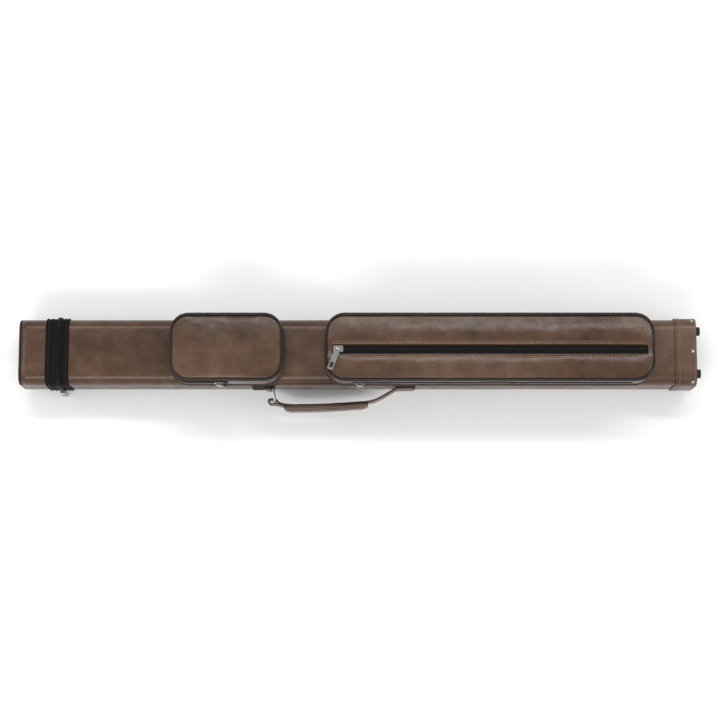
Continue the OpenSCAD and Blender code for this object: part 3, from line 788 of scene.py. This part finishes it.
def small_pouch():
    """The short pouch, zipped round its left half, which folds open on a crease in its leather on the real
    case; here the front is one panel that does not bend.
    """
    crease_x = span("small_flap")[1][0] + 0.15
    zip_low = span("small_zip_lower")
    zip_z0, zip_z1 = zip_low[0][2] - AXIS_Z, zip_low[1][2] - AXIS_Z
    low, high = span("small_pouch_back")

    def open_part(u, v, h, margin):
        return u < crease_x + margin * 0.5 and h > zip_z0 - 0.01 - margin * 0.2

    heights = [BASE_TOP, 34.5, 37, 40, 43.5, zip_z0, 49, 52, 55, 58, 60.5, RIM_Z + 0.6]
    replaced = ["small_pouch_gusset"]
    pouch_gusset("small_gusset", "small_pouch_back", "case", heights, open_part, replaced, 6.0, 0.9)
    flange("small_flange", "small_pouch_back", "case")
    row = closed_curve(pouch_loop("small_pouch_back", 0), -WALL_IN + 0.25, BASE_TOP + 2.2, up)
    sewn("small_flange_stitches", stitches(*row))

    x0, x1 = low[0] + FRONT_IN, high[0] - FRONT_IN
    half = (high[1] - low[1]) / 2 - FRONT_IN

    def height(x, y, w):
        u = (2 * x - x0 - x1) / (x1 - x0)
        v = y / max(1e-6, w)
        crown = (1 - abs(u) ** 3.2) * (1 - abs(v) ** 2.6)
        dent = 0.75 * wave3(x * 0.028, y * 0.035, 5.5) + 0.35 * wave3(x * 0.09, y * 0.07, 2.2)
        fine = 0.12 * wave3(x * 0.3, y * 0.22, 8.0)
        return EDGE_Z + 3.4 * max(0, crown) ** 0.7 + smooth(crown * 3) * (dent + fine)

    verts, faces = panel_grid(x0, x1, half, POUCH_R - FRONT_IN, height, column=2.4, rows=14)
    panel = make_piece("small_front", verts, faces, "pouch", None,
                       replaces=["small_pouch_front", "small_flap"], slot="leather_brown")
    thicken(panel, 1.2)
    bend = [Vector(up(crease_x + d, 0, PIPE_Z)) * MM for d in (0.5, -7)]
    tuple(bend[0])
    tuple(bend[1])
    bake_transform(panel)

    loop = pouch_loop("small_pouch_back", 0, 2.0)
    verts, faces = sweep(loop, circle_profile(-PIPE_IN, PIPE_Z, PIPE_R, 10), up)
    piping = make_piece("small_piping", verts, faces, "piping", None,
                        replaces=["small_pouch_piping", "small_flap_piping"], slot="leather_dark")
    tuple(bend[0])
    tuple(bend[1])
    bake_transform(piping)

    loop = [p for p in loop if p[0] < crease_x - 1.0]
    first = [p for p in loop if p[1] < 0]
    second = [p for p in loop if p[1] >= 0]
    first.sort(key=lambda p: (-round(p[0], 3), -p[1]) if abs(p[3]) > 0.99 else (-round(p[0], 3), p[1]))
    second.sort(key=lambda p: (round(p[0], 3), p[1]))
    path = first + second
    points, normals = loop_curve(path, -WALL_IN + 0.75, zip_z1 + 0.1, up)
    for side, body, label in [(1, "case", "small_coil_lower"), (-1, "small_flap", "small_coil_upper")]:
        verts, faces = coil_teeth(points, normals, 1.5, 1.3, 0.7, sides=(side,))
        make_piece(label, verts, faces, "coil", body, slot="zip_black")


small_pouch()


# ---- Ribbons: straps, tabs and bands ----


def curve(points, step=3.0, rounds=3):
    """Smooths a given polyline by cutting its corners, then spaces the points evenly."""
    for _ in range(rounds):
        cut = [points[0]]
        for a, b in zip(points, points[1:]):
            cut.append((a[0] * 0.75 + b[0] * 0.25, a[1] * 0.75 + b[1] * 0.25))
            cut.append((a[0] * 0.25 + b[0] * 0.75, a[1] * 0.25 + b[1] * 0.75))
        cut.append(points[-1])
        points = cut
    length = sum(math.dist(a, b) for a, b in zip(points, points[1:]))
    count = max(2, int(length / step))
    out, seg, walked = [], 0, 0.0
    for k in range(count + 1):
        goal = length * k / count
        while seg < len(points) - 2 and walked + math.dist(points[seg], points[seg + 1]) < goal:
            walked += math.dist(points[seg], points[seg + 1])
            seg += 1
        t = (goal - walked) / max(1e-9, math.dist(points[seg], points[seg + 1]))
        t = min(1.0, t)
        out.append(tuple(a + (b - a) * t for a, b in zip(points[seg], points[seg + 1])))
    return out


# Cross-section of a strap: place through its thickness, place across its width
STRAP_SECTION = [(-0.5, -0.985), (-0.25, -1.0), (0.25, -1.0), (0.5, -0.985), (0.5, -0.5), (0.5, 0.0),
                 (0.5, 0.5), (0.5, 0.985), (0.25, 1.0), (-0.25, 1.0), (-0.5, 0.985), (-0.5, 0.5),
                 (-0.5, 0.0), (-0.5, -0.5)]


def ribbon(path, half, thick, place):
    """A flat strap: a rounded strip swept along a path, with a half width that may depend on the place."""
    verts = []
    for i, (u, v) in enumerate(path):
        a, b = path[max(0, i - 1)], path[min(len(path) - 1, i + 1)]
        du, dv = b[0] - a[0], b[1] - a[1]
        size = math.hypot(du, dv) or 1.0
        nu, nv = -dv / size, du / size
        w = half(u) if callable(half) else half
        for off, across in STRAP_SECTION:
            verts.append(place(u + nu * (off * thick), v + nv * (off * thick), across * w))
    return verts, skin(len(path), len(STRAP_SECTION))


def under(u, v, w):
    """Path in X-Z about the case's axis, width along Y."""
    return (u, w + AXIS_Y, v + AXIS_Z)


def arc_path(cx, cy, r, start, end, steps=8):
    """Points along an arc, from one angle to another, in degrees."""
    turns = [math.radians(a) for a in divided(start, end, steps)]
    return [(cx + r * math.cos(a), cy + r * math.sin(a)) for a in turns]


def edge_rows(path, half, thick, place, inset, side=1):
    """Stitch rows along both edges of a ribbon, on one of its faces."""
    parts = []
    for s in (-1, 1):
        points, normals = [], []
        for i, (u, v) in enumerate(path):
            a, b = path[max(0, i - 1)], path[min(len(path) - 1, i + 1)]
            size = math.dist(a, b) or 1.0
            nu, nv = -(b[1] - a[1]) / size * side, (b[0] - a[0]) / size * side
            points.append(place(u + nu * thick / 2, v + nv * thick / 2, s * (half - inset)))
            zero = place(0, 0, 0)
            normals.append(tuple(p - q for p, q in zip(place(nu, nv, 0), zero)))
        parts.append(stitches(points, normals, 3.4, 2.2, 0.35))
    return join_parts(parts)


# ---- Bands round the case, and the handle ----

GRIP_LOW, GRIP_HIGH = span("handle_grip")
GRIP_T = 9.6
STRAP_HALF = 10.9
GRIP_LEFT_Y = GRIP_LOW[1] - AXIS_Y + GRIP_T / 2
GRIP_RIGHT_Y = GRIP_HIGH[1] - AXIS_Y - GRIP_T / 2
RING_LOW, RING_HIGH = span("handle_ring")
RING_R = 1.3
INNER_BAR = (RING_LOW[0] + RING_R, RING_HIGH[1] - AXIS_Y - RING_R)
OUTER_BAR = (RING_HIGH[0] - RING_R, RING_LOW[1] - AXIS_Y + RING_R)


def case_bands():
    """Webbing that wraps the handle side, and the loop that holds the handle's ring."""
    run = [p for p in SECTION if p[0] < 0.01 and not p[1] > HALF_D - 0.6]
    low, high = span("band_right")
    width = high[0] - low[0]
    left = span("band_left")[0][0]
    for name, x0, node in [("band_left_web", left, "band_left"), ("band_right_web", low[0], "band_right")]:
        verts, faces = sweep(run, rounded_profile(-0.1, 1.1, x0, x0 + width, 0.45, 3), along, closed=False)
        make_piece(name, verts, faces, "band", "case", replaces=[node], slot="webbing_black")
        rows = [stitches(*loop_curve(run, 1.1, x, along), 2.8, 1.9, 0.2)
                for x in (x0 + 1.6, x0 + width - 1.6)]
        sewn(name + "_stitches", join_parts(rows), "case", "thread_black", "webbing_black")
    path = [(INNER_BAR[0] - 9, -HALF_W - 1.9), (INNER_BAR[0] - 4, -HALF_W - 1.9)]
    path += arc_path(INNER_BAR[0], INNER_BAR[1], 2.1, 140, -100)
    path += [(INNER_BAR[0] - 4, -HALF_W - 3.6), (INNER_BAR[0] - 9, -HALF_W - 3.0)]
    keeper = ribbon(curve(path, 1.2, 2), 10.8, 0.9, up)
    make_piece("ring_keeper", *keeper, "leather", "case", slot="leather_brown")


case_bands()


def handle_leather():
    """The strap: sewn down on the right, through the grip, and looped round the ring on the left."""
    grip_end = span("handle_root")[1][0]
    side = -HALF_W - 2.0
    slack = 5.2
    bar = OUTER_BAR
    right = [(grip_end, side), (48, side), (43, side - 0.6),
             (31, GRIP_RIGHT_Y + 11.5), (20, GRIP_RIGHT_Y + 5.5),
             (GRIP_HIGH[0], GRIP_RIGHT_Y + 2.8), (GRIP_HIGH[0] - 12, GRIP_RIGHT_Y + 1.5)]
    path = curve(right, 2.0, 3)
    make_piece("handle_strap_right", *ribbon(path, STRAP_HALF, 2.0, up), "leather", "case",
               replaces=["handle_root"], slot="leather_brown")
    rows = edge_rows(path[:-8], STRAP_HALF, 2.0, up, 1.8, side=1)
    sewn("handle_strap_stitches", rows)
    left = [(GRIP_LOW[0] + 10, GRIP_LEFT_Y + 1.6), (GRIP_LOW[0] - 1, GRIP_LEFT_Y + 2.0),
            (bar[0] + 3, bar[1] - 2.9), (bar[0] - slack, bar[1] - 2.9)]
    left += arc_path(bar[0] - slack, bar[1], 2.9, 260, 100)
    left += [(bar[0], bar[1] + 2.9), (bar[0] + 2.6, bar[1] + 1.6), (bar[0] + 3.2, bar[1] - 0.6),
             (GRIP_LOW[0] - 1, GRIP_LEFT_Y + 4.0), (GRIP_LOW[0] + 10, GRIP_LEFT_Y + 3.4)]
    path = curve(left, 1.2, 2)
    make_piece("handle_strap_loop", *ribbon(path, STRAP_HALF, 1.5, up), "leather", "case",
               replaces=["handle_strap"], slot="leather_brown")


handle_leather()


def grip_surface(x, s):
    """Half thickness of the padded grip: flat sewn edges round a filled middle."""
    ends = smooth(min(x - GRIP_LOW[0], GRIP_HIGH[0] - x) / 7)
    z = abs(s)
    swell = max(0.0, 1 - (z / 0.80) ** 3.0) ** 0.6
    return 1.45 + (GRIP_T / 2 - 1.45) * swell * (0.25 + 0.75 * ends)


def handle_grip():
    """Padded leather grip, two layers sewn together all round."""
    half = (GRIP_HIGH[2] - GRIP_LOW[2]) / 2
    count, around = 52, 16
    verts = []

    def centre(x):
        t = (x - GRIP_LOW[0]) / (GRIP_HIGH[0] - GRIP_LOW[0])
        return GRIP_LEFT_Y + (GRIP_RIGHT_Y - GRIP_LEFT_Y) * t - 1.2 * math.sin(math.pi * t)

    xs = divided(GRIP_LOW[0], GRIP_HIGH[0], count)
    for x in xs:
        corner = 1 - 0.09 * (1 - smooth(min(x - GRIP_LOW[0], GRIP_HIGH[0] - x) / 3))
        ring = []
        for face in (-1, 1):
            for k in range(around + 1):
                s = (-1 + 2 * k / around) * -face
                d = grip_surface(x, s)
                crease = 0.16 * wave3(x * 0.12, s * 2.0, 3.0 * face) + 0.10 * wave3(x * 0.5, s, 6.0)
                ring.append((x, centre(x) + face * (d + crease * (d > 2)), s * half * corner))
        verts += [up(*p) for p in ring]
    faces = skin(count + 1, 2 * (around + 1))
    grip = make_piece("grip_leather", verts, faces, "pouch", "case", replaces=["handle_grip"],
                      slot="leather_brown")
    rows = []
    for face in (-1, 1):
        for s in (-0.9, 0.9):
            points = [up(x, centre(x) + face * (grip_surface(x, s) + 0.05), s * half) for x in xs[1:-1]]
            rows.append(flat_row(points, (0, face, 0), *GRIP_STITCH))
        for x in (GRIP_LOW[0] + 3.2, GRIP_HIGH[0] - 3.2):
            points = [up(x, centre(x) + face * (grip_surface(x, s) + 0.1), s * half)
                      for s in divided(-0.86, 0.86, 12)]
            rows.append(flat_row(points, (0, face, 0), *GRIP_STITCH))
    sewn("grip_stitches", join_parts(rows))


handle_grip()


# ---- Shoulder strap ----

WEB_T = 1.5
RING_BAR_Z = (span("left_ring")[0][2] + span("left_ring")[1][2]) / 2 - AXIS_Z
WEB_LOW = span("strap_webbing")[0][2] - AXIS_Z
LOW_Z = WEB_LOW + 0.1 + WEB_T / 2
TOP_Z = LOW_Z + 1.9
LEFT_BAR = span("left_ring")[1][0] - 1.5
RIGHT_BAR = span("right_ring")[0][0] + 1.5
WEB_HALF = (span("strap_webbing")[1][1] - span("strap_webbing")[0][1]) / 2
GATHERED_HALF = 15.6
RING_TURN = 2.45
LEFT_LAP = 36
RIGHT_LAP = 22


def web_half(u):
    """The webbing gathers a little where it passes through a ring."""
    near = min(abs(u - LEFT_BAR), abs(u - RIGHT_BAR))
    return GATHERED_HALF + (WEB_HALF - GATHERED_HALF) * smooth((near - 2) / 9)


def shoulder_strap():
    """Black webbing from ring to ring under the case, with its end doubled back through the tri-glide."""
    path = [(LEFT_BAR + LEFT_LAP, TOP_Z), (LEFT_BAR + 12, TOP_Z), (LEFT_BAR + 4, TOP_Z + 1.5)]
    path += arc_path(LEFT_BAR, RING_BAR_Z, RING_TURN, 80, 280)
    path += [(LEFT_BAR + 5, LOW_Z - 0.1), (LEFT_BAR + 12, LOW_Z)]
    ends = curve(path, 1.6, 2)
    run = [(x, LOW_Z) for x in divided(LEFT_BAR + 13, RIGHT_BAR - 13, 150)]
    path = [(RIGHT_BAR - 12, LOW_Z), (RIGHT_BAR - 5, LOW_Z - 0.1)]
    path += arc_path(RIGHT_BAR, RING_BAR_Z, RING_TURN, 260, 460)
    path += [(RIGHT_BAR - 4, TOP_Z + 1.5), (RIGHT_BAR - 12, TOP_Z), (RIGHT_BAR - RIGHT_LAP, TOP_Z)]
    far = curve(path, 1.6, 2)
    whole = ends + run + far
    length = sum(math.dist(a, b) for a, b in zip(whole, whole[1:]))
    strap = make_piece("strap_web", *ribbon(whole, web_half, WEB_T, under), "webbing", "case",
                       replaces=["strap_webbing"], slot="webbing_black")

    bar_x = (span("triglide")[0][0] + span("triglide")[1][0]) / 2
    start = RIGHT_BAR - 20
    run = [(x, TOP_Z - 0.05) for x in divided(start, bar_x - 6, 90)]
    doubled = ribbon(run, WEB_HALF, WEB_T, under)
    back = make_piece("strap_return", *doubled, "webbing", None, slot="webbing_black")
    place = [tuple(Vector(under(x, TOP_Z, 0)) * MM) for x in (start, bar_x + 20)]
    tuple(place[0])
    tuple(place[1])
    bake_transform(back)

    rows = []
    x0, x1 = LEFT_BAR + 12, LEFT_BAR + LEFT_LAP - 2
    box = [(x0, -14), (x1, -14), (x1, 14), (x0, 14), (x0, -14), (x1, 14), (x1, -14), (x0, 14)]
    for a, b in zip(box, box[1:]):
        steps = max(2, int(math.dist(a, b) / 3))
        line = zip(divided(a[0], b[0], steps), divided(a[1], b[1], steps))
        rows.append(flat_row([under(x, LOW_Z - WEB_T / 2, y) for x, y in line], (0, 0, -1), *FINE_STITCH))
    sewn("strap_stitches", join_parts(rows), "case", "thread_black", "webbing_black")


shoulder_strap()


def shoulder_pad():
    """Thin padded leatherette under the webbing, with two loops that hold it on."""
    low, high = span("strap_pad")
    x0, x1 = low[0], high[0]
    half = (high[1] - low[1]) / 2
    top = high[2] - AXIS_Z
    bottom = top - 3.5
    chamfer = 9.0

    def width(x):
        return half - 0.75 * max(0.0, chamfer - min(x - x0, x1 - x))

    xs = divided(x0, x1, 44)
    rows = 14
    verts, faces = [], []
    for face in (-1, 1):
        for x in xs:
            w = width(x)
            ends = smooth(min(x - x0, x1 - x) / 6)
            for k in range(rows + 1):
                s = -1 + 2 * k / rows
                edge = max(0.0, 1 - abs(s) ** 6) ** 0.5
                quilt = 0.85 + 0.15 * abs(math.sin((x - x0) / (x1 - x0) * math.pi * 4))
                d = 0.5 + 1.15 * edge * ends * quilt
                verts.append(under(x, (top + bottom) / 2 + face * d, s * w))
    n, m = len(xs), rows + 1
    for f in (0, 1):
        base = f * n * m
        for i in range(n - 1):
            for j in range(rows):
                p, q = base + i * m + j, base + (i + 1) * m + j
                faces.append((p, p + 1, q + 1, q))
    border = [(i, 0) for i in range(n)] + [(n - 1, j) for j in range(1, m)]
    border += [(i, rows) for i in reversed(range(n - 1))] + [(0, j) for j in reversed(range(1, rows))]
    for a, b in zip(border, border[1:] + border[:1]):
        p, q = a[0] * m + a[1], b[0] * m + b[1]
        faces.append((p, q, q + n * m, p + n * m))
    pad = make_piece("pad_cushion", verts, faces, "pad", "strap_pad", replaces=["strap_pad"],
                     slot="pad_black")

    outline = [(x, -width(x)) for x in xs] + [(x, width(x)) for x in reversed(xs)]
    tube = []
    for i, (x, y) in enumerate(outline):
        a, b = outline[i - 1], outline[(i + 1) % len(outline)]
        size = math.dist(a, b) or 1.0
        tube.append((x, y, (b[1] - a[1]) / size, -(b[0] - a[0]) / size))
    verts, faces = sweep(tube, circle_profile(-0.9, (top + bottom) / 2, 1.05, 8), up)
    make_piece("pad_binding", verts, faces, "grey_trim", "strap_pad", slot="pad_black")

    floor = low[2] - AXIS_Z
    for index, x in enumerate((x0 + 17.5, x1 - 20.5)):
        loop = rounded_loop(-half + 0.85, half - 0.85, floor + 0.85, bottom + 1.2, 1.6, 3.0, 4)
        verts, faces = sweep(loop, rounded_profile(-0.8, 0.8, x - 6.6, x + 6.6, 0.4, 2), along)
        make_piece("pad_loop_%d" % (index + 1), verts, faces, "grey_trim", "strap_pad", slot="pad_black")


shoulder_pad()


# ---- Leather tabs ----


TAB_T = 1.5
TAB_TURN = 2.5


def hinge_strap():
    """The tab that joins the lid to the case across the zip and carries the left ring."""
    low, high = span("lid_hinge_tab")
    half = (high[1] - low[1]) / 2
    z = low[2] - AXIS_Z + 0.8
    bar_x = span("left_ring")[0][0] + 1.5
    path = [(low[0], -HALF_D - 0.8), (low[0] + 3, -HALF_D - 0.9), (low[0] + 8, z + 0.5),
            (MOUTH_X - 8, z), (MOUTH_X, z), (bar_x - 5, z)]
    path += arc_path(bar_x, RING_BAR_Z, TAB_TURN, 230, 480)
    path += [(bar_x - 4, RING_BAR_Z + 2.4)]
    strap = make_piece("hinge_strap", *ribbon(curve(path, 1.5, 2), half, TAB_T, under), "tab", None,
                       replaces=["hinge_tab", "lid_hinge_tab"], slot="leather_dark")
    place = [tuple(Vector(under(x, z, 0)) * MM) for x in (MOUTH_X + 1.4, MOUTH_X - 2.4)]
    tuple(place[0])
    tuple(place[1])
    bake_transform(strap)


hinge_strap()


def base_tab():
    """The riveted tab that carries the right ring."""
    low, high = span("right_tab")
    half = (high[1] - low[1]) / 2
    z = -HALF_D - SLEEVE_T - 0.8
    bar_x = span("right_ring")[1][0] - 1.5
    path = [(high[0], z), (bar_x + 12, z), (bar_x + 6, z - 0.3)]
    path += arc_path(bar_x, RING_BAR_Z, TAB_TURN, 50, -190)
    path += [(bar_x + 5, RING_BAR_Z + 3.0)]
    make_piece("base_tab", *ribbon(curve(path, 1.5, 2), half, TAB_T, under), "tab", "case",
               replaces=["right_tab"], slot="leather_dark")


base_tab()


def cross_row(name, body, xs, half, z):
    """Stitch rows across a tab on the underside."""
    rows = [flat_row([under(x, z, y) for y in divided(-half, half, 8)], (0, 0, -1), 3.2, 2.1, 0.3)
            for x in xs]
    sewn(name, join_parts(rows), body, "thread_black", "leather_dark")


cross_row("hinge_tab_stitches", "lid", [span("lid_hinge_tab")[0][0] + 10, MOUTH_X - 9], 12.5,
          span("lid_hinge_tab")[0][2] - AXIS_Z)
cross_row("base_tab_stitches", "case", [span("right_tab")[1][0] - 9, span("right_tab")[1][0] - 17], 12.5,
          -HALF_D - SLEEVE_T - 1.6)


def lid_end_tab():
    """Small leather pull tab sewn to the end of the lid."""
    low, high = span("lid_tab")
    z0, z1, half = low[2] - AXIS_Z, high[2] - AXIS_Z, (high[1] - low[1]) / 2
    middle, thick = (low[0] + high[0]) / 2, high[0] - low[0] - 0.1

    def place(u, v, w):
        return (middle + v, w + AXIS_Y, u + AXIS_Z)

    def width(u):
        return half - 2.5 * (1 - smooth(min(u - z0, z1 - u) / 3))

    path = [(z, 0.0) for z in divided(z0, z1, 20)]
    make_piece("lid_pull_tab", *ribbon(path, width, thick, place), "tab", "lid",
               replaces=["lid_tab"], slot="leather_dark")
    rows = edge_rows(path[3:-3], half, thick - 0.3, place, 2.4, side=-1)
    sewn("lid_pull_tab_stitches", rows, "lid", "thread_black", "leather_dark")


lid_end_tab()


def back_seam(name, body, x0, x1):
    """Overlap where the leather's two edges meet along the back."""
    path = [(x, -HALF_D - 0.1) for x in divided(x0, x1, 60)]

    def place(u, v, w):
        return under(u, v, w - 2.0)

    make_piece(name, *ribbon(path, 1.1, 0.6, place), "leather", body, slot="leather_brown")


back_seam("case_back_seam", "case", BODY_LOW[0] + 14, SLEEVE_LOW[0] - 0.5)
